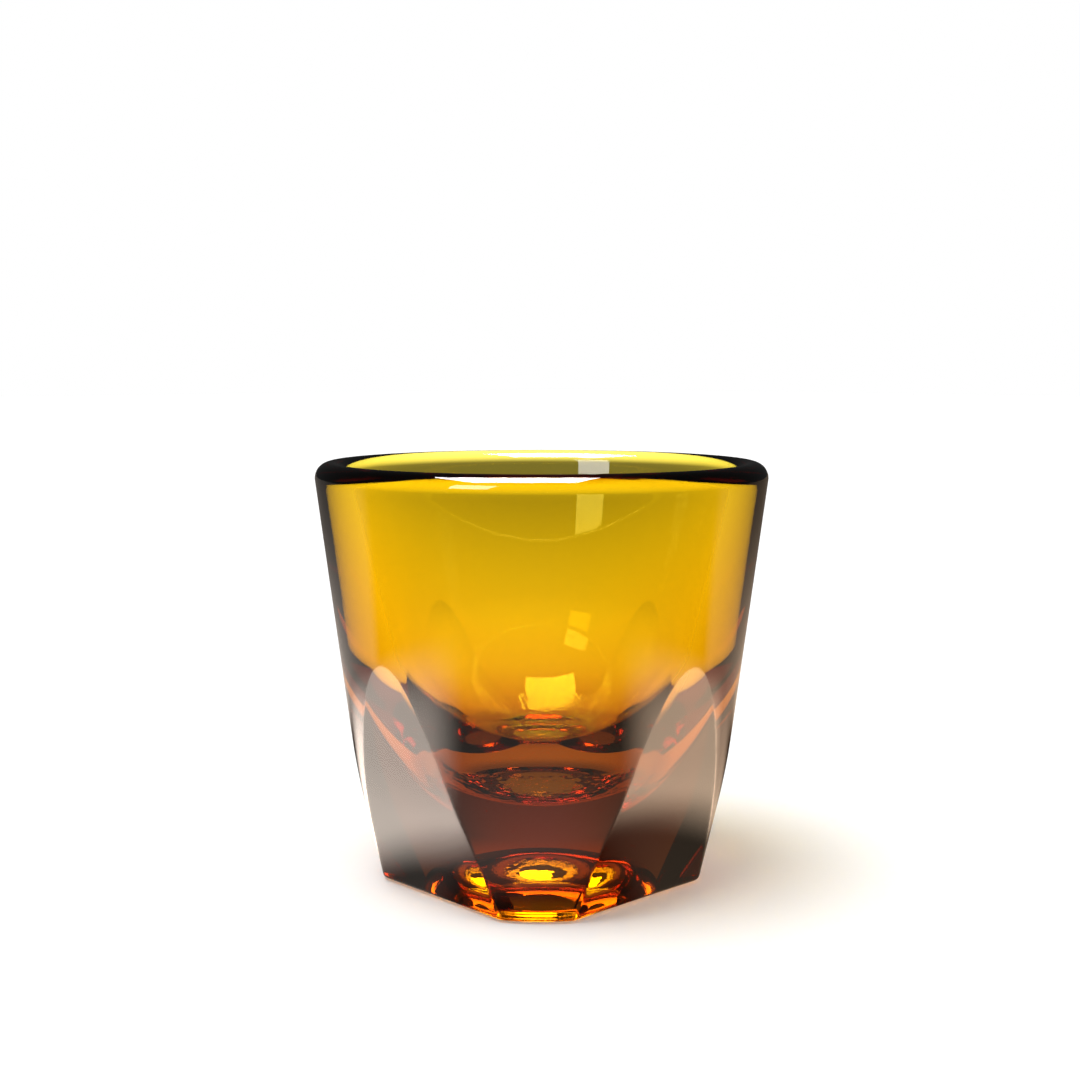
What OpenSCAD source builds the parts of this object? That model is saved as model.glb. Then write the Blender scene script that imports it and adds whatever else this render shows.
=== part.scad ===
// Espresso glass pressed in one piece of thick coloured glass.
// A round conical tumbler above, drawn in below to a square foot with four broad faces,
// a round-bottomed bowl inside and a domed hollow under the foot.
// The foot rests on z = 0, the axis is z, and the faces look along x and y.

/* [Overall] */
// Height from the table to the top of the rim
height = 65.4; // [58:0.1:76]
// Outside diameter over the rim
rim_d = 70; // [64:0.5:78]
// Radius of the fully rounded rim
rim_round = 2.4; // [1.8:0.05:3.2]
// Lean of the outside wall from upright, in degrees
wall_lean = 7.35; // [5:0.05:10]

/* [Corners] */
// Lean of the four corners near the foot, in degrees
corner_lean = 12.85; // [10:0.05:16]
// Height at which the corners turn further in
corner_turn = 17.9; // [12:0.1:24]
// Radius that bends the corners from the wall lean to the lower lean
corner_bend_r = 100; // [70:1:130]

/* [Faces] */
// Height of the top of each face on the round wall
face_top = 37; // [34:0.1:40]
// Lean of the upper part of the four faces, in degrees
face_lean = 12.5; // [11:0.05:14]
// Lean of the four faces near the foot, in degrees
face_foot_lean = 19.4; // [18:0.05:21]
// Height at which the faces turn further in
face_turn = 18; // [14:0.1:22]
// Radius that bends the faces from one lean to the other
face_bend_r = 80; // [50:1:110]

/* [Bowl] */
// Lean of the bowl wall from upright, in degrees
bowl_lean = 13.1; // [11.5:0.05:14.5]
// Glass under the middle of the bowl
base_t = 15.3; // [13:0.1:18]
// Radius that bends the bowl wall in towards the floor
bowl_bend_r = 32; // [28:0.5:40]
// Radius of the round floor of the bowl
floor_r = 20; // [16:0.1:22]

/* [Foot] */
// Diameter of the domed hollow under the foot
punt_d = 28; // [22:0.5:35]
// Depth of the domed hollow
punt_h = 9; // [4:0.1:11]
// Rounding of the outside edge of the foot
foot_round = 0.8; // [0.4:0.05:1.4]

/* [Colour] */
// Colour of the glass
glass_colour = [0.85, 0.55, 0.10, 0.55];

/* [Hidden] */
$fn = 96;
far = 2 * rim_d;
// height that the cutting shapes stand above the rim
above = height + rim_d / 10;
// length over which straight and bent surfaces run past their tangent points
lap = 2;
// depth by which a straight surface lies inside the bend it runs into, so that the two cross
seam = 0.004;
sw = tan(wall_lean);
sc = tan(corner_lean);
sb = tan(bowl_lean);

// rim circle, and the points where the outside and the bowl wall touch it
rim_x = rim_d / 2 - rim_round;
rim_z = height - rim_round;
out_x = rim_x + rim_round * cos(wall_lean);
out_z = rim_z - rim_round * sin(wall_lean);
in_x = rim_x - rim_round * cos(bowl_lean);
in_z = rim_z + rim_round * sin(bowl_lean);

// outside radius of the upper wall at a height
function wall_r(z) = out_x - sw * (out_z - z);
// bowl radius of the straight bowl wall at a height
function bowl_r(z) = in_x - sb * (in_z - z);

// corner bend, tangent to the upper and the lower lean
turn_x = wall_r(corner_turn);
turn_run = corner_bend_r * tan((corner_lean - wall_lean) / 2);
turn_hi = corner_turn + turn_run * cos(wall_lean);
turn_lo = corner_turn - turn_run * cos(corner_lean);
turn_cx = wall_r(turn_hi) - corner_bend_r * cos(wall_lean);
turn_cz = turn_hi + corner_bend_r * sin(wall_lean);
function corner_r(z) = turn_x - sc * (corner_turn - z);

// rounded foot edge at the corners
foot_z = foot_round * (1 - sin(corner_lean));
foot_x = corner_r(foot_z) - foot_round * cos(corner_lean);

// distance of the upper part of a face from the axis at a height
function face_d(z) = wall_r(face_top) - tan(face_lean) * (face_top - z);

// face bend, tangent to the upper and the lower lean
face_run = face_bend_r * tan((face_foot_lean - face_lean) / 2);
face_hi = face_turn + face_run * cos(face_lean);
face_lo = face_turn - face_run * cos(face_foot_lean);
face_cx = face_d(face_hi) - face_bend_r * cos(face_lean);
face_cz = face_hi + face_bend_r * sin(face_lean);
// distance of the lower part of a face from the axis at a height
function foot_d(z) = face_d(face_turn) - tan(face_foot_lean) * (face_turn - z);

// rounded foot edge along the faces
edge_z = foot_round * (1 - sin(face_foot_lean));
edge_x = foot_d(edge_z) - foot_round * cos(face_foot_lean);

// bowl bend and round floor, tangent to each other and to the bowl wall
floor_cz = base_t + floor_r;
bend_step = bowl_bend_r - floor_r;
bend_gap = bowl_r(floor_cz) - bowl_bend_r / cos(bowl_lean);
bend_root = sqrt(bend_step * bend_step * (1 + sb * sb) - bend_gap * bend_gap);
bend_rise = (bend_root - sb * bend_gap) / (1 + sb * sb);
bend_cx = bend_gap + sb * bend_rise;
bend_cz = floor_cz + bend_rise;
bend_hi = bend_cz - bowl_bend_r * sin(bowl_lean);
bend_lo = floor_cz - floor_r * bend_rise / bend_step;

// sphere of the hollow under the foot
punt_r = (punt_d * punt_d / 4 + punt_h * punt_h) / (2 * punt_h);

// half section of the outside, full to the axis, below the rim circle
module outside_section() {
  square([foot_x, foot_z]);
  intersection() {
    translate([foot_x, foot_round]) circle(r = foot_round);
    square([far, foot_z + lap]);
  }
  polygon([
    [0, foot_z],
    [corner_r(foot_z) - seam, foot_z],
    [corner_r(turn_lo) - seam, turn_lo],
    [0, turn_lo]
  ]);
  intersection() {
    translate([turn_cx, turn_cz]) circle(r = corner_bend_r);
    translate([0, turn_lo - lap]) square([far, turn_hi - turn_lo + 2 * lap]);
  }
  polygon([
    [0, turn_hi],
    [wall_r(turn_hi) - seam, turn_hi],
    [out_x - seam, out_z],
    [in_x, in_z],
    [0, in_z]
  ]);
}

// half section of the bowl
module bowl_section() {
  intersection() {
    translate([0, floor_cz]) circle(r = floor_r + seam);
    square([far, bend_lo + lap]);
  }
  intersection() {
    translate([bend_cx, bend_cz]) circle(r = bowl_bend_r);
    translate([0, bend_lo]) square([far, bend_hi - bend_lo + lap]);
  }
  polygon([
    [0, bend_hi],
    [bowl_r(bend_hi) - seam, bend_hi],
    [in_x + seam, in_z],
    [in_x + seam, above],
    [0, above]
  ]);
}

// half section of the turned glass
module glass_section() {
  difference() {
    outside_section();
    bowl_section();
    translate([0, punt_h - punt_r]) circle(r = punt_r);
  }
  translate([rim_x, rim_z]) circle(r = rim_round);
}

// one side of a pair of opposite faces, from the axis outwards
module face_section() {
  square([edge_x, edge_z]);
  intersection() {
    translate([edge_x, foot_round]) circle(r = foot_round);
    square([far, edge_z + lap]);
  }
  polygon([
    [0, edge_z],
    [foot_d(edge_z) - seam, edge_z],
    [foot_d(face_lo) - seam, face_lo],
    [0, face_lo]
  ]);
  intersection() {
    translate([face_cx, face_cz]) circle(r = face_bend_r);
    translate([0, face_lo - lap]) square([far, face_hi - face_lo + 2 * lap]);
  }
  polygon([
    [0, face_hi],
    [face_d(face_hi) - seam, face_hi],
    [face_d(above) - seam, above],
    [0, above]
  ]);
}

// prism between a pair of opposite faces
module face_pair() {
  rotate([90, 0, 0]) linear_extrude(height = far, center = true) {
    face_section();
    mirror([1, 0]) face_section();
  }
}

module glass_body() {
  color(glass_colour)
  intersection() {
    rotate_extrude() glass_section();
    face_pair();
    rotate([0, 0, 90]) face_pair();
  }
}

glass_body();
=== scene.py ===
import math

import bpy
import numpy as np
from bpy.props import FloatProperty, FloatVectorProperty, PointerProperty
from bpy.types import Operator, Panel, PropertyGroup
from mathutils import Matrix, Vector


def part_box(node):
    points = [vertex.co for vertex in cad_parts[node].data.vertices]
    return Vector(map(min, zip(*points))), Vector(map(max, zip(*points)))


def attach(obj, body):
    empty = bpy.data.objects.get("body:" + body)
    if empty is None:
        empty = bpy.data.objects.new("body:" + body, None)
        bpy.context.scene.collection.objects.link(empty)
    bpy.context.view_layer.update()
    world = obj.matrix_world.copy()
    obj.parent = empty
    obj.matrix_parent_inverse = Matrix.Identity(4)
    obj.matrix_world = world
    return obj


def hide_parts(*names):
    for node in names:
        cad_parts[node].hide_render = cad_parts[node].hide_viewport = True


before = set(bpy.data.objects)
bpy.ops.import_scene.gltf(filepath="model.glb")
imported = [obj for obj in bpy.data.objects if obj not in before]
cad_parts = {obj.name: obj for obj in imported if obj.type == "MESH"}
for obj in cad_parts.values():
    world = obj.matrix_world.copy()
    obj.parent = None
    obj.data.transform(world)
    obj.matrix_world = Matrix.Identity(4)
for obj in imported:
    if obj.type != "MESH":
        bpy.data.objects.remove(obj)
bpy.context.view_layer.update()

bl_info = {
    "name": "Espresso glass",
    "version": (1, 0, 0),
    "blender": (4, 5, 0),
    "location": "View3D > Sidebar > Espresso glass",
    "description": "Pressed amber espresso glass with a round rim and a square foot, on a white sweep",
    "category": "Add Mesh",
}

MM = 0.001
NODE = "glass_body"
BODY = "root"
GLASS_LOW, GLASS_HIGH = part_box(NODE)

# Finish of the glass
WHITE = (1, 1, 1, 1)
WEAR_PER_METRE = 90
WEAR_RANGE = (0.55, 0.8)
RIPPLES_PER_METRE = 120
GRAINS_PER_METRE = 1100
STIPPLE_EDGE = 0.97
STIPPLE_UNDER = 2 * MM
STIPPLE_OVER = 1 * MM

# Camera and sweep
FRAME_SIDE = 1080
SENSOR_WIDTH = 36
PAPER = (0.75, 0.75, 0.75, 1)
PAPER_GLOW = 0.15
SWEEP_HALF = 4.0
SWEEP_DROP = 0.2 * MM

# Lamps, with places in metres and beams given as right, away and up
KEY_SPREAD = math.radians(30)
KEY_BEAM = (0.22, 0.15, -1)
SOFTBOXES = (
    {
        "name": "overhead",
        "place": (-0.06, -0.045, 0.5),
        "aim": (-0.06, 0, 0.03),
        "size": (0.33, 0.34),
        "radiance": 28,
    },
    {
        "name": "strip",
        "place": (-0.3, -0.42, 0.33),
        "aim": (0, 0, 0.06),
        "size": (0.2, 0.25),
        "radiance": 8,
    },
)


def length(name, text, mm):
    """A length property, written in millimetres."""
    return FloatProperty(name=name, description=text, default=mm * MM, unit="LENGTH")


def angle(name, text, degrees):
    """An angle property, written in degrees."""
    return FloatProperty(name=name, description=text, default=math.radians(degrees), subtype="ANGLE")


def plain(name, text, value):
    """A property without a unit."""
    return FloatProperty(name=name, description=text, default=value, precision=4)


class GlassSizes(PropertyGroup):
    """Sizes of the glass."""

    height: length("Height", "From the table to the top of the rim", GLASS_HIGH.z / MM)
    rim_radius: length("Rim radius", "Outside radius over the rim", GLASS_HIGH.x / MM)
    rim_round: length("Rim round", "Radius of the fully rounded rim", 2.4)
    wall_lean: angle("Wall lean", "Lean of the round outside wall", 7.35)
    corner_lean: angle("Corner lean", "Lean of the four corners near the foot", 12.85)
    corner_turn: length("Corner turn", "Height at which the corners turn further in", 17.9)
    corner_bend: length("Corner bend", "Radius that bends the corners to the lower lean", 100)
    face_top: length("Face top", "Height of the top of each face on the round wall", 37)
    face_lean: angle("Face lean", "Lean of the upper part of the four faces", 12.5)
    face_foot_lean: angle("Face foot lean", "Lean of the four faces near the foot", 19.4)
    face_turn: length("Face turn", "Height at which the faces turn further in", 18)
    face_bend: length("Face bend", "Radius that bends the faces from one lean to the other", 80)
    edge_round: length("Edge round", "Radius of the edges between faces and corners", 1.5)
    bowl_lean: angle("Bowl lean", "Lean of the bowl wall", 13.1)
    bowl_bend: length("Bowl bend", "Radius that bends the bowl wall in towards its floor", 32)
    bowl_floor: length("Bowl floor", "Radius of the round bowl floor", 20)
    base: length("Base", "Glass under the middle of the bowl", 15.3)
    foot_round: length("Foot round", "Rounding of the outside edge of the foot", 0.8)
    hollow_radius: length("Hollow radius", "Radius of the domed hollow under the foot", 14)
    hollow_depth: length("Hollow depth", "Depth of the domed hollow", 9)


class GlassFinish(PropertyGroup):
    """Finish of the glass."""

    absorb: FloatVectorProperty(
        name="Absorption",
        description="Red, green and blue light that the glass takes up in each millimetre",
        default=(0.042, 0.085, 0.5),
        size=3,
        precision=4,
    )
    ior: plain("Index", "Index of refraction of the glass", 1.53)
    polish: plain("Polish", "Least roughness, on fire-polished walls", 0.0)
    wear: plain("Wear", "Roughness that handling adds in patches", 0.006)
    ripple: length("Ripple", "Height of the slow ripple left by pressing", 0.004)
    stipple: length("Stipple", "Height of the fine stipple on the bowl floor", 0.06)
    stipple_radius: length("Stipple radius", "Radius of the stippled part of the bowl floor", 14.3)


class StageLook(PropertyGroup):
    """Camera, sweep and light."""

    azimuth: angle("Azimuth", "Direction of the camera round the glass", 46.5)
    distance: length("Distance", "Level distance from the camera to the axis of the glass", 248.08)
    eye: length("Eye height", "Height of the camera above the table", 79.63)
    aside: length("Aside", "How far the camera stands to the left of the axis", 0.25)
    tilt: angle("Tilt", "How far the camera looks down", 6.136)
    focal: plain("Focal length", "Focal length in pixels of the square frame", 1595.2)
    # The values below, up to the room, set painted light on the sweep that only the glass shows, in its
    # reflections and through it: a painted pool of light, painted glows under the foot and hollow, a
    # painted warm tint and a painted shadow next to the foot.
    painted_pool_glow: plain("Sweep glow", "Brightness of the lit sweep at the glass, seen through glass", 2.0)
    sweep_reach: length("Sweep reach", "Distance over which that brightness falls off", 245)
    left_share: plain("Left share", "Share of that brightness on the left", 1.15)
    right_share: plain("Right share", "Share of that brightness on the right", 1.0)
    painted_back_glow: plain("Back glow", "Brightness of the sweep far behind the glass, seen through glass", 0.24)
    painted_under_foot_glow: plain("Under glow", "Brightness of the table under the foot", 1.5)
    painted_hollow_glow: plain("Hollow glow", "Brightness of the table under the hollow", 0.6)
    painted_front_glow: plain("Front glow", "Brightness of the table in front of the glass in reflections", 1.0)
    front_reach: length("Front reach", "Distance over which the front brightness falls off", 90)
    # Painted warm tint of the light that the glass would throw on the table, shown in reflections.
    warmth: FloatVectorProperty(
        name="Warmth",
        description="Colour that the light from the glass gives the table in reflections",
        default=(1, 0.86, 0.75),
        size=3,
        subtype="COLOR",
    )
    # Painted amber tint of that light on the right.
    amber_warmth: FloatVectorProperty(
        name="Amber warmth",
        description="The same colour on the right, where light comes through the glass",
        default=(1, 0.72, 0.5),
        size=3,
        subtype="COLOR",
    )
    # Painted brightness of the sweep as the glass reflects it.
    painted_left_gloss: plain("Left gloss", "Brightness of the table on the left in reflections", 4.6)
    painted_right_gloss: plain("Right gloss", "Brightness of the table on the right in reflections", 5.0)
    gloss_reach: length("Gloss reach", "How far the near brightness goes", 112)
    painted_far_gloss: plain("Far gloss", "Brightness of the sweep behind that in reflections", 0.9)
    painted_back_gloss: plain("Back gloss", "Brightness of the sweep far behind the glass in reflections", 0.12)
    far_reach: length("Far reach", "Distance over which the far brightness falls off", 220)
    # Painted shadow next to the foot, as reflections show it.
    painted_contact_shade: plain("Contact", "Share of the brightness next to the foot in reflections", 0.05)
    room: plain("Room", "Brightness of the room in reflections", 0.03)
    walls: plain("Walls", "Brightness of the room seen through glass", 0.3)
    fill: plain("Fill", "Brightness of the room on the table", 0.55)
    key: plain("Key", "Strength of the key light on the table", 2.6)


def smooth_min(a, b, blend):
    """The lesser of two values, with the step between them rounded over a blend."""
    near = np.clip(blend - np.abs(a - b), 0, None) / blend
    return np.minimum(a, b) - near * near * blend * 0.25


class GlassForm:
    """Outlines of the glass, worked out from its sizes. All values are in metres and radians."""

    QUARTER = math.pi / 2
    FACE_STEPS = 14
    CORNER_STEPS = 18
    LEAST_FACE = math.radians(3.5)
    LEAST_BLEND = 0.004 * MM
    FACE_CROWD = 1.8
    CORNER_CROWD = 1.5

    def __init__(self, sizes):
        self.sizes = sizes
        s = sizes
        self.wall_slope = math.tan(s.wall_lean)
        self.bowl_slope = math.tan(s.bowl_lean)
        self.rim_x = s.rim_radius - s.rim_round
        self.rim_z = s.height - s.rim_round
        self.out_x = self.rim_x + s.rim_round * math.cos(s.wall_lean)
        self.out_z = self.rim_z - s.rim_round * math.sin(s.wall_lean)
        self.in_x = self.rim_x - s.rim_round * math.cos(s.bowl_lean)
        self.in_z = self.rim_z + s.rim_round * math.sin(s.bowl_lean)
        self.set_corner()
        self.set_face()
        self.set_bowl()

    def wall(self, z):
        """Radius of the round wall."""
        return self.out_x - self.wall_slope * (self.out_z - z)

    def set_corner(self):
        """Bend of the corners, which touches the upper and the lower lean."""
        s = self.sizes
        run = s.corner_bend * math.tan((s.corner_lean - s.wall_lean) / 2)
        self.turn_high = s.corner_turn + run * math.cos(s.wall_lean)
        self.turn_low = s.corner_turn - run * math.cos(s.corner_lean)
        self.turn_x = self.wall(self.turn_high) - s.corner_bend * math.cos(s.wall_lean)
        self.turn_z = self.turn_high + s.corner_bend * math.sin(s.wall_lean)

    def corner(self, z):
        """Radius of the corners, which are round about the axis."""
        s = self.sizes
        if z >= self.turn_high:
            return self.wall(z)
        if z <= self.turn_low:
            return self.wall(s.corner_turn) - math.tan(s.corner_lean) * (s.corner_turn - z)
        return self.turn_x + math.sqrt(s.corner_bend**2 - (z - self.turn_z) ** 2)

    def set_face(self):
        """Bend of the faces, which touches the upper and the lower lean."""
        s = self.sizes
        run = s.face_bend * math.tan((s.face_foot_lean - s.face_lean) / 2)
        self.face_high = s.face_turn + run * math.cos(s.face_lean)
        self.face_low = s.face_turn - run * math.cos(s.face_foot_lean)
        self.face_x = self.upper_face(self.face_high) - s.face_bend * math.cos(s.face_lean)
        self.face_z = self.face_high + s.face_bend * math.sin(s.face_lean)

    def upper_face(self, z):
        """Distance of the upper part of a face from the axis."""
        s = self.sizes
        return self.wall(s.face_top) - math.tan(s.face_lean) * (s.face_top - z)

    def face(self, z):
        """Distance of a face from the axis."""
        s = self.sizes
        if z >= self.face_high:
            return self.upper_face(z)
        if z <= self.face_low:
            return self.upper_face(s.face_turn) - math.tan(s.face_foot_lean) * (s.face_turn - z)
        return self.face_x + math.sqrt(s.face_bend**2 - (z - self.face_z) ** 2)

    def set_bowl(self):
        """Centre of the bowl bend, which touches the bowl wall and the round floor."""
        s = self.sizes
        slope = self.bowl_slope
        step = s.bowl_bend - s.bowl_floor
        self.floor_z = s.base + s.bowl_floor
        gap = self.in_x - slope * (self.in_z - self.floor_z) - s.bowl_bend / math.cos(s.bowl_lean)
        root = math.sqrt(step**2 * (1 + slope**2) - gap**2)
        rise = (root - slope * gap) / (1 + slope**2)
        self.knee_x = gap + slope * rise
        self.knee_z = self.floor_z + rise
        self.floor_turn = math.atan2(-rise, -self.knee_x)

    def half_face(self, z):
        """Half the angle that a face spans, seen from the axis."""
        ratio = self.face(z) / self.corner(z)
        return math.acos(min(1.0, ratio))

    def angles(self, z):
        """Angles of the points of one level, closer together at the edges of the faces."""
        edge = max(self.half_face(z), self.LEAST_FACE)
        u = np.linspace(0, 1, self.FACE_STEPS + 1)
        v = np.linspace(0, 1, self.CORNER_STEPS + 1)[1:]
        on_face = edge * (1 - (1 - u) ** self.FACE_CROWD)
        on_corner = edge + (self.QUARTER / 2 - edge) * v**self.CORNER_CROWD
        half = np.concatenate([on_face, on_corner])
        quarter = np.concatenate([half, (self.QUARTER - half[::-1])[1:]])[:-1]
        return np.concatenate([quarter + turn * self.QUARTER for turn in range(4)])

    def blend(self, z):
        """Blend that rounds the edges between faces and corners at a height."""
        edge = self.half_face(z)
        return max(0.5 * self.sizes.edge_round * edge * math.tan(edge), self.LEAST_BLEND)

    def outline(self, z, angles):
        """Radius of the outside at a height, for each angle."""
        fold = np.abs((angles + self.QUARTER / 2) % self.QUARTER - self.QUARTER / 2)
        round_wall = np.full_like(angles, self.corner(z))
        return smooth_min(round_wall, self.face(z) / np.cos(fold), self.blend(z))


class GlassMesh:
    """Collects levels of points from the hollow under the foot round to the middle of the bowl."""

    HOLLOW_STEPS = 40
    FOOT_STEPS = 12
    FOOT_ROUND_STEPS = 8
    FACE_LEVELS = 90
    APEX_LEVELS = 24
    APEX = 2 * MM
    WALL_LEVELS = 30
    RIM_STEPS = 40
    BOWL_LEVELS = 44
    BEND_STEPS = 30
    SETTLE = 0.3 * MM

    def __init__(self, form):
        self.form = form
        self.sizes = form.sizes
        self.levels = []

    def add(self, radius, z, angles):
        """One level of points."""
        radius = np.broadcast_to(radius, angles.shape)
        z = np.broadcast_to(z, angles.shape)
        self.levels.append(np.stack([radius * np.cos(angles), radius * np.sin(angles), z], 1))

    def add_arc(self, x, z, radius, turns, angles):
        """Levels along an arc of the half section, about a point of it."""
        for turn in turns:
            self.add(x + radius * math.cos(turn), z + radius * math.sin(turn), angles)

    def add_foot(self):
        """Domed hollow, flat ring and rounded edge."""
        s, form = self.sizes, self.form
        angles = form.angles(0.0)
        dome = (s.hollow_radius**2 + s.hollow_depth**2) / (2 * s.hollow_depth)
        for radius in np.linspace(0, s.hollow_radius, self.HOLLOW_STEPS)[1:]:
            z = s.hollow_depth - dome + math.sqrt(dome**2 - radius**2)
            self.add(radius, -smooth_min(-z, 0.0, self.SETTLE), angles)
        rest = form.outline(0.0, angles) - s.foot_round
        for share in np.linspace(0, 1, self.FOOT_STEPS + 2)[1:-1]:
            self.add(s.hollow_radius + (rest - s.hollow_radius) * share, 0.0, angles)
        for turn in np.linspace(0, math.pi / 2, self.FOOT_ROUND_STEPS):
            z = s.foot_round * (1 - math.cos(turn))
            angles = form.angles(z)
            self.add(form.outline(z, angles) - s.foot_round * (1 - math.sin(turn)), z, angles)

    def add_outside(self):
        """Faces, corners and the round wall above them."""
        s, form = self.sizes, self.form
        levels = (
            np.linspace(s.foot_round, s.face_top - self.APEX, self.FACE_LEVELS)[1:],
            np.linspace(s.face_top - self.APEX, s.face_top + self.APEX, self.APEX_LEVELS)[1:],
            np.linspace(s.face_top + self.APEX, form.out_z, self.WALL_LEVELS)[1:],
        )
        for z in np.concatenate(levels):
            angles = form.angles(z)
            self.add(form.outline(z, angles), z, angles)

    def add_rim(self):
        """Fully rounded rim, from the wall over to the bowl."""
        s, form = self.sizes, self.form
        angles = form.angles(form.out_z)
        turns = np.linspace(-s.wall_lean, math.pi - s.bowl_lean, self.RIM_STEPS)[1:]
        self.add_arc(form.rim_x, form.rim_z, s.rim_round, turns, angles)

    def add_bowl(self):
        """Bowl wall, bend and round floor."""
        s, form = self.sizes, self.form
        angles = form.angles(form.out_z)
        wall_end = form.knee_z - s.bowl_bend * math.sin(s.bowl_lean)
        for z in np.linspace(form.in_z, wall_end, self.BOWL_LEVELS)[1:]:
            self.add(form.in_x - form.bowl_slope * (form.in_z - z), z, angles)
        bend = np.linspace(-s.bowl_lean, form.floor_turn, self.BEND_STEPS)[1:]
        self.add_arc(form.knee_x, form.knee_z, s.bowl_bend, bend, angles)
        floor = np.linspace(form.floor_turn, -math.pi / 2, self.BEND_STEPS)[1:-1]
        self.add_arc(0.0, form.floor_z, s.bowl_floor, floor, angles)

    def build(self, name):
        """One closed mesh."""
        self.add_foot()
        self.add_outside()
        self.add_rim()
        self.add_bowl()
        count = len(self.levels[0])
        points = [(0.0, 0.0, self.sizes.hollow_depth)]
        for level in self.levels:
            points.extend(level.tolist())
        points.append((0.0, 0.0, self.sizes.base))
        ring = [(i, (i + 1) % count) for i in range(count)]
        faces = [(0, 1 + j, 1 + i) for i, j in ring]
        for level in range(len(self.levels) - 1):
            low = 1 + level * count
            high = low + count
            faces.extend((low + i, low + j, high + j, high + i) for i, j in ring)
        last = 1 + (len(self.levels) - 1) * count
        faces.extend((last + i, last + j, len(points) - 1) for i, j in ring)
        mesh = bpy.data.meshes.new(name)
        mesh.from_pydata(points, [], faces)
        mesh.update()
        mesh.shade_smooth()
        return mesh


class NodeDesk:
    """Adds shader nodes and joins them."""

    def __init__(self, tree):
        self.tree = tree
        tree.nodes.clear()

    def add(self, kind, **settings):
        """A new node."""
        node = self.tree.nodes.new(kind)
        for key, value in settings.items():
            setattr(node, key, value)
        return node

    def put(self, socket, value):
        """Sets a constant on the socket, or links another socket to it."""
        if isinstance(value, bpy.types.NodeSocket):
            self.tree.links.new(value, socket)
        else:
            socket.default_value = value

    def math(self, operation, *values):
        """Result of one operation."""
        node = self.add("ShaderNodeMath", operation=operation)
        for socket, value in zip(node.inputs, values):
            self.put(socket, value)
        return node.outputs[0]

    def ramp(self, value, start, end, low, high):
        """Smooth change from low at start to high at end."""
        node = self.add("ShaderNodeMapRange", interpolation_type="SMOOTHSTEP")
        for socket, number in zip(node.inputs, (value, start, end, low, high)):
            self.put(socket, number)
        return node.outputs[0]

    def dot(self, x, y, other_x, other_y):
        """Sum of the products of two pairs."""
        return self.math("ADD", self.math("MULTIPLY", x, other_x), self.math("MULTIPLY", y, other_y))

    def pick(self, share, otherwise, value):
        """The value where the share is 1, and the other one where it is 0."""
        node = self.add("ShaderNodeMapRange")
        for socket, number in zip(node.inputs, (share, 0, 1, otherwise, value)):
            self.put(socket, number)
        return node.outputs[0]

    def blend(self, share, first, second):
        """Colour between two colours."""
        node = self.add("ShaderNodeMix", data_type="RGBA")
        for key, value in (("Factor", share), ("A", first), ("B", second)):
            self.put(node.inputs[key], value)
        return node.outputs["Result"]

    def noise(self, place, scale, detail):
        """Cloudy noise about a half."""
        node = self.add("ShaderNodeTexNoise")
        self.put(node.inputs["Vector"], place)
        node.inputs["Scale"].default_value = scale
        node.inputs["Detail"].default_value = detail
        return node.outputs["Fac"]

    def bump(self, height, distance):
        """Bump node of full strength. Its Normal input is free."""
        node = self.add("ShaderNodeBump")
        node.inputs["Strength"].default_value = 1
        node.inputs["Distance"].default_value = distance
        self.put(node.inputs["Height"], height)
        return node


def stipple_height(desk, place, finish, sizes):
    """Round dimples on the bowl floor, and nothing elsewhere."""
    grains = desk.add("ShaderNodeTexVoronoi")
    desk.put(grains.inputs["Vector"], place)
    grains.inputs["Scale"].default_value = GRAINS_PER_METRE
    dimple = desk.math("POWER", grains.outputs["Distance"], 2)
    split = desk.add("ShaderNodeSeparateXYZ")
    desk.put(split.inputs[0], place)
    x, y, z = split.outputs
    radius = desk.math("SQRT", desk.dot(x, y, x, y))
    inside = desk.ramp(radius, finish.stipple_radius, finish.stipple_radius * STIPPLE_EDGE, 0, 1)
    above = desk.ramp(z, sizes.base - STIPPLE_UNDER, sizes.base - STIPPLE_OVER, 0, 1)
    return desk.math("MULTIPLY", dimple, desk.math("MULTIPLY", inside, above))


def amber_glass(finish, sizes):
    """Clear pressed glass that takes its amber from its thickness."""
    material = bpy.data.materials.new("amber_glass")
    material.use_nodes = True
    desk = NodeDesk(material.node_tree)
    out = desk.add("ShaderNodeOutputMaterial")
    shader = desk.add("ShaderNodeBsdfPrincipled")
    shader.inputs["Base Color"].default_value = WHITE
    shader.inputs["Transmission Weight"].default_value = 1
    shader.inputs["IOR"].default_value = finish.ior
    desk.put(out.inputs["Surface"], shader.outputs[0])
    amber = desk.add("ShaderNodeVolumeAbsorption")
    per_metre = [k / MM for k in finish.absorb]
    density = max(per_metre)
    amber.inputs["Color"].default_value = [1 - k / density for k in per_metre] + [1]
    amber.inputs["Density"].default_value = density
    desk.put(out.inputs["Volume"], amber.outputs[0])
    place = desk.add("ShaderNodeTexCoord").outputs["Object"]
    patches = desk.noise(place, WEAR_PER_METRE, 6)
    desk.put(shader.inputs["Roughness"], desk.ramp(patches, *WEAR_RANGE, finish.polish, finish.wear))
    waves = desk.bump(desk.noise(place, RIPPLES_PER_METRE, 1), finish.ripple)
    grit = desk.bump(stipple_height(desk, place, finish, sizes), finish.stipple)
    desk.put(grit.inputs["Normal"], waves.outputs[0])
    desk.put(shader.inputs["Normal"], grit.outputs[0])
    return material


def photo_axes(look):
    """Level directions to the right and away, as the camera sees them."""
    away = Vector((-math.sin(look.azimuth), math.cos(look.azimuth), 0))
    right = Vector((math.cos(look.azimuth), math.sin(look.azimuth), 0))
    return right, away


def stage_vector(look, across, beyond, up):
    """Vector from its parts to the right, away and up, as the camera sees them."""
    right, away = photo_axes(look)
    return right * across + away * beyond + Vector((0, 0, up))


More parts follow.
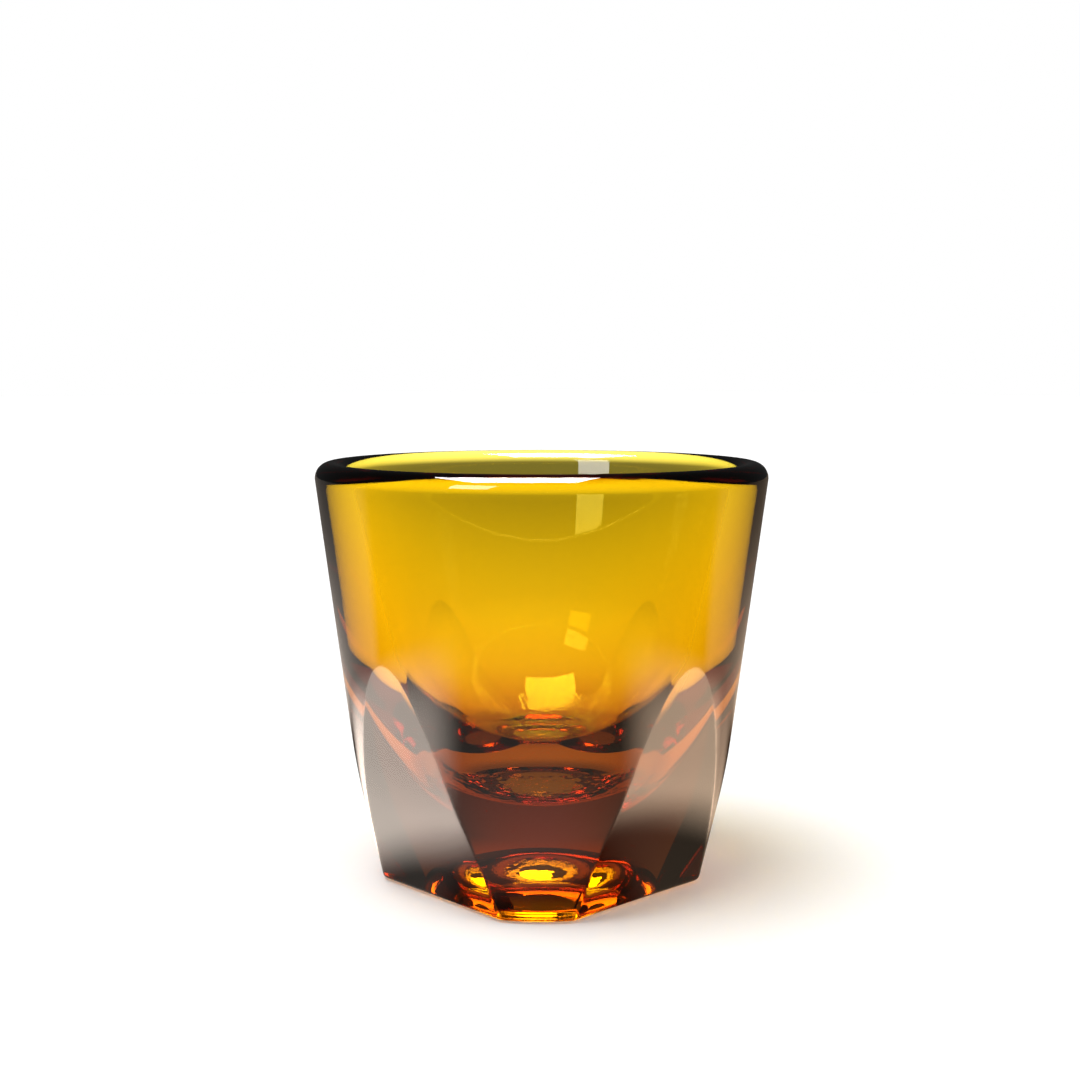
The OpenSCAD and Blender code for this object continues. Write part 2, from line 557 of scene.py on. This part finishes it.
def add_camera(look):
    """The camera of the photograph."""
    right, away = photo_axes(look)
    forward = away * math.cos(look.tilt) - Vector((0, 0, 1)) * math.sin(look.tilt)
    up = right.cross(forward)
    camera = bpy.data.cameras.new("camera")
    camera.sensor_width = SENSOR_WIDTH
    camera.lens = look.focal / FRAME_SIDE * camera.sensor_width
    camera.clip_start = 10 * MM
    holder = bpy.data.objects.new("camera", camera)
    bpy.context.collection.objects.link(holder)
    place = stage_vector(look, -look.aside, -look.distance, look.eye)
    turn = Matrix((right, up, -forward)).transposed()
    holder.matrix_world = Matrix.Translation(place) @ turn.to_4x4()
    bpy.context.scene.camera = holder


class PaintedSweepLight:
    """Painted light on the sweep for the glass to show, worked out from the place on the sweep: a painted
    pool of light with a painted shadow round the foot, made by no lamp.
    """

    # Radii between which the painted light on the sweep changes: painted glow under the hollow and the
    # foot, painted shadow round the foot
    HOLLOW_EDGE = (14 * MM, 19 * MM)
    FOOT_EDGE = (22 * MM, 30 * MM)
    CONTACT_EDGE = (28 * MM, 43 * MM)
    # Shares of a reach between which the painted light changes
    OUTER_START, OUTER_END = 0.6, 1.5
    GLOSS_START, GLOSS_END = 0.78, 1.22
    # How far a direction points right or away, from -1 to 1, where the painted light changes
    BEHIND = (-0.6, 0)
    REAR = (0, 0.15)
    LEFT = (-0.6, -0.9)
    RIGHT = (0.6, 0.9)
    RIGHT_REAR = (0.2, 0.5)
    AMBER = (0, 0.6)
    # Shares of painted brightness, and how far the painted shadow round the foot leans to the right
    FRONT_SHARE = 0.4
    RIGHT_REAR_SHARE = 0.25
    LEE = 0.15

    def __init__(self, desk, look):
        self.desk = desk
        self.look = look
        split = desk.add("ShaderNodeSeparateXYZ")
        desk.put(split.inputs[0], desk.add("ShaderNodeNewGeometry").outputs["Position"])
        x, y = split.outputs[0], split.outputs[1]
        right, away = photo_axes(look)
        self.across = desk.dot(x, y, right.x, right.y)
        self.square = desk.dot(x, y, x, y)
        self.radius = desk.math("MAXIMUM", desk.math("SQRT", self.square), MM)
        self.aside = desk.math("DIVIDE", self.across, self.radius)
        self.ahead = desk.math("DIVIDE", desk.dot(x, y, away.x, away.y), self.radius)
        self.behind = desk.ramp(self.ahead, *self.BEHIND, 0, 1)
        before = desk.math("MULTIPLY", desk.math("SUBTRACT", 1, self.behind), look.painted_front_glow)
        self.front = desk.math("MULTIPLY", before, self.falloff(look.front_reach))

    def falloff(self, reach):
        """One in the middle, fading with distance."""
        power = self.desk.math("MULTIPLY", self.square, -1 / reach**2)
        return self.desk.math("POWER", math.e, power)

    def through(self):
        """Painted brightness that shows through the glass: a painted pool of light, a painted glow under
        the foot and painted shade just round it.
        """
        desk, look = self.desk, self.look
        left = look.left_share * look.painted_pool_glow
        right = look.right_share * look.painted_pool_glow
        side = desk.ramp(self.aside, -1, 1, left, right)
        fading = desk.math("MULTIPLY", side, self.falloff(look.sweep_reach))
        sweep = desk.math("ADD", fading, look.painted_back_glow)
        outer_start = self.OUTER_START * look.front_reach
        outer_end = self.OUTER_END * look.front_reach
        outer = desk.ramp(self.radius, outer_start, outer_end, 0, 1)
        pool = desk.math("MULTIPLY", sweep, desk.math("MAXIMUM", self.behind, outer))
        lit = desk.math("ADD", pool, desk.math("MULTIPLY", self.front, self.FRONT_SHARE))
        # Painted shade just round the foot, and a painted glow under the foot and the hollow
        around = desk.math("MULTIPLY", lit, desk.ramp(self.radius, *self.FOOT_EDGE, 0, 1))
        table = desk.ramp(self.radius, *self.HOLLOW_EDGE, look.painted_hollow_glow, look.painted_under_foot_glow)
        under = desk.math("MULTIPLY", table, desk.ramp(self.radius, *self.FOOT_EDGE, 1, 0))
        return desk.math("ADD", around, under)

    def mirrored(self):
        """Painted brightness that shows in the gloss of the glass, as a painted reflection, with a painted
        shadow next to the foot.
        """
        desk, look = self.desk, self.look
        left = desk.ramp(self.aside, *self.LEFT, 0, look.painted_left_gloss)
        right = desk.ramp(self.aside, *self.RIGHT, 0, look.painted_right_gloss)
        right_rear = desk.ramp(self.ahead, *self.RIGHT_REAR, 1, self.RIGHT_REAR_SHARE)
        right = desk.math("MULTIPLY", right, right_rear)
        gloss_start = self.GLOSS_START * look.gloss_reach
        gloss_end = self.GLOSS_END * look.gloss_reach
        near = desk.ramp(self.radius, gloss_start, gloss_end, 1, 0)
        close = desk.math("MULTIPLY", desk.math("ADD", left, right), near)
        flank = desk.math("MULTIPLY", self.falloff(look.far_reach), look.painted_far_gloss)
        flank = desk.math("ADD", flank, look.painted_back_gloss)
        rear = desk.math("MULTIPLY", flank, desk.ramp(self.ahead, *self.REAR, 0, 1))
        far = desk.math("MULTIPLY", rear, desk.math("SUBTRACT", 1, near))
        bright = desk.math("ADD", desk.math("ADD", close, far), desk.math("ADD", self.front, look.room))
        # Painted shadow next to the foot, leaning to the right
        lee = desk.math("SUBTRACT", self.radius, desk.math("MULTIPLY", self.across, self.LEE))
        return desk.math("MULTIPLY", bright, desk.ramp(lee, *self.CONTACT_EDGE, look.painted_contact_shade, 1))


def sweep_material(look):
    """Sweep that is plain white with its real shadow to the camera, and that shows glass and gloss painted
    light, as if lit from above.
    """
    material = bpy.data.materials.new("white_sweep_painted_light")
    material.use_nodes = True
    desk = NodeDesk(material.node_tree)
    out = desk.add("ShaderNodeOutputMaterial")
    rays = desk.add("ShaderNodeLightPath").outputs
    lit = PaintedSweepLight(desk, look)
    # Emission that paints light and shade on the sweep for glass and gloss rays
    glow = desk.add("ShaderNodeEmission")
    strength = desk.pick(rays["Is Transmission Ray"], lit.mirrored(), lit.through())
    desk.put(glow.inputs["Strength"], strength)
    # Painted warm tint of light through the glass, more amber on the right
    amber = desk.ramp(lit.aside, *lit.AMBER, 0, 1)
    warm = desk.blend(amber, (*look.warmth, 1), (*look.amber_warmth, 1))
    desk.put(glow.inputs["Color"], desk.blend(rays["Is Transmission Ray"], warm, WHITE))
    paper = desk.add("ShaderNodeBsdfDiffuse")
    paper.inputs["Color"].default_value = PAPER
    white = desk.add("ShaderNodeEmission")
    desk.put(white.inputs["Strength"], desk.math("MULTIPLY", rays["Is Camera Ray"], PAPER_GLOW))
    table = desk.add("ShaderNodeAddShader")
    desk.put(table.inputs[0], paper.outputs[0])
    desk.put(table.inputs[1], white.outputs[0])
    choose = desk.add("ShaderNodeMixShader")
    desk.put(choose.inputs[0], desk.math("MAXIMUM", rays["Is Glossy Ray"], rays["Is Transmission Ray"]))
    desk.put(choose.inputs[1], table.outputs[0])
    desk.put(choose.inputs[2], glow.outputs[0])
    desk.put(out.inputs["Surface"], choose.outputs[0])
    return material


def add_sweep(look):
    """Level sweep under the glass."""
    mesh = bpy.data.meshes.new("sweep")
    signs = ((-1, -1), (1, -1), (1, 1), (-1, 1))
    mesh.from_pydata([(SWEEP_HALF * x, SWEEP_HALF * y, 0) for x, y in signs], [], [(0, 1, 2, 3)])
    mesh.materials.append(sweep_material(look))
    sweep = bpy.data.objects.new("sweep", mesh)
    sweep.location.z = -SWEEP_DROP
    bpy.context.collection.objects.link(sweep)


def set_world(look):
    """White to the camera, a dark room to glass and gloss, and soft fill to the table."""
    world = bpy.data.worlds.new("room")
    bpy.context.scene.world = world
    world.use_nodes = True
    desk = NodeDesk(world.node_tree)
    out = desk.add("ShaderNodeOutputWorld")
    rays = desk.add("ShaderNodeLightPath").outputs
    strength = desk.pick(rays["Is Glossy Ray"], look.fill, look.room)
    strength = desk.pick(rays["Is Transmission Ray"], strength, look.walls)
    strength = desk.pick(rays["Is Camera Ray"], strength, 1)
    background = desk.add("ShaderNodeBackground")
    background.inputs["Color"].default_value = WHITE
    desk.put(background.inputs["Strength"], strength)
    desk.put(out.inputs["Surface"], background.outputs[0])


def add_softbox(look, name, place, aim, size, radiance):
    """A softbox that shows in the glass. Places are right, away and up from the middle of the foot."""
    lamp = bpy.data.lights.new(name, "AREA")
    lamp.shape = "RECTANGLE"
    lamp.size, lamp.size_y = size
    lamp.energy = radiance * math.pi * size[0] * size[1]
    holder = bpy.data.objects.new(name, lamp)
    holder.location = stage_vector(look, *place)
    beam = stage_vector(look, *aim) - holder.location
    holder.rotation_euler = beam.to_track_quat("-Z", "Y").to_euler()
    holder.visible_diffuse = False
    bpy.context.collection.objects.link(holder)


def add_key(look):
    """Broad key light from above and to the left, which lights the table and casts the shadow."""
    lamp = bpy.data.lights.new("key", "SUN")
    lamp.energy = look.key
    lamp.angle = KEY_SPREAD
    holder = bpy.data.objects.new("key", lamp)
    beam = stage_vector(look, *KEY_BEAM)
    holder.rotation_euler = beam.to_track_quat("-Z", "Y").to_euler()
    holder.visible_glossy = False
    holder.visible_transmission = False
    bpy.context.collection.objects.link(holder)


class GLASS_OT_body(Operator):
    """Makes the glass, one pressing of amber glass."""

    bl_idname = "espresso.glass_body"
    bl_label = "Make the glass"

    def execute(self, context):
        sizes = context.scene.glass_sizes
        mesh = GlassMesh(GlassForm(sizes)).build("pressed_glass")
        mesh.materials.append(amber_glass(context.scene.glass_finish, sizes))
        glass = bpy.data.objects.new("pressed_glass", mesh)
        context.collection.objects.link(glass)
        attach(glass, BODY)
        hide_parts(NODE)
        return {"FINISHED"}


class GLASS_OT_stage(Operator):
    """Makes the camera, the white sweep with its painted light for the glass, and the studio light."""

    bl_idname = "espresso.stage"
    bl_label = "Make the stage"

    def execute(self, context):
        look = context.scene.stage_look
        add_camera(look)
        add_sweep(look)
        set_world(look)
        add_key(look)
        for softbox in SOFTBOXES:
            add_softbox(look, **softbox)
        scene = context.scene
        scene.view_settings.view_transform = "Standard"
        scene.cycles.max_bounces = 32
        scene.cycles.transmission_bounces = 32
        scene.cycles.glossy_bounces = 16
        return {"FINISHED"}


class GLASS_PT_panel(Panel):
    """Sizes, finish and stage of the espresso glass."""

    bl_idname = "GLASS_PT_panel"
    bl_label = "Espresso glass"
    bl_space_type = "VIEW_3D"
    bl_region_type = "UI"
    bl_category = "Espresso glass"

    def draw(self, context):
        layout = self.layout
        for operator in (GLASS_OT_body, GLASS_OT_stage):
            layout.operator(operator.bl_idname)
        for group in (context.scene.glass_sizes, context.scene.glass_finish, context.scene.stage_look):
            box = layout.box()
            for key in group.__annotations__:
                box.prop(group, key)


GROUPS = {"glass_sizes": GlassSizes, "glass_finish": GlassFinish, "stage_look": StageLook}
CLASSES = (*GROUPS.values(), GLASS_OT_body, GLASS_OT_stage, GLASS_PT_panel)


def register():
    for cls in CLASSES:
        bpy.utils.register_class(cls)
    for key, group in GROUPS.items():
        setattr(bpy.types.Scene, key, PointerProperty(type=group))


def unregister():
    for key in GROUPS:
        delattr(bpy.types.Scene, key)
    for cls in reversed(CLASSES):
        bpy.utils.unregister_class(cls)


def main():
    register()
    bpy.ops.espresso.stage()
    bpy.ops.espresso.glass_body()


if __name__ == "__main__":
    main()
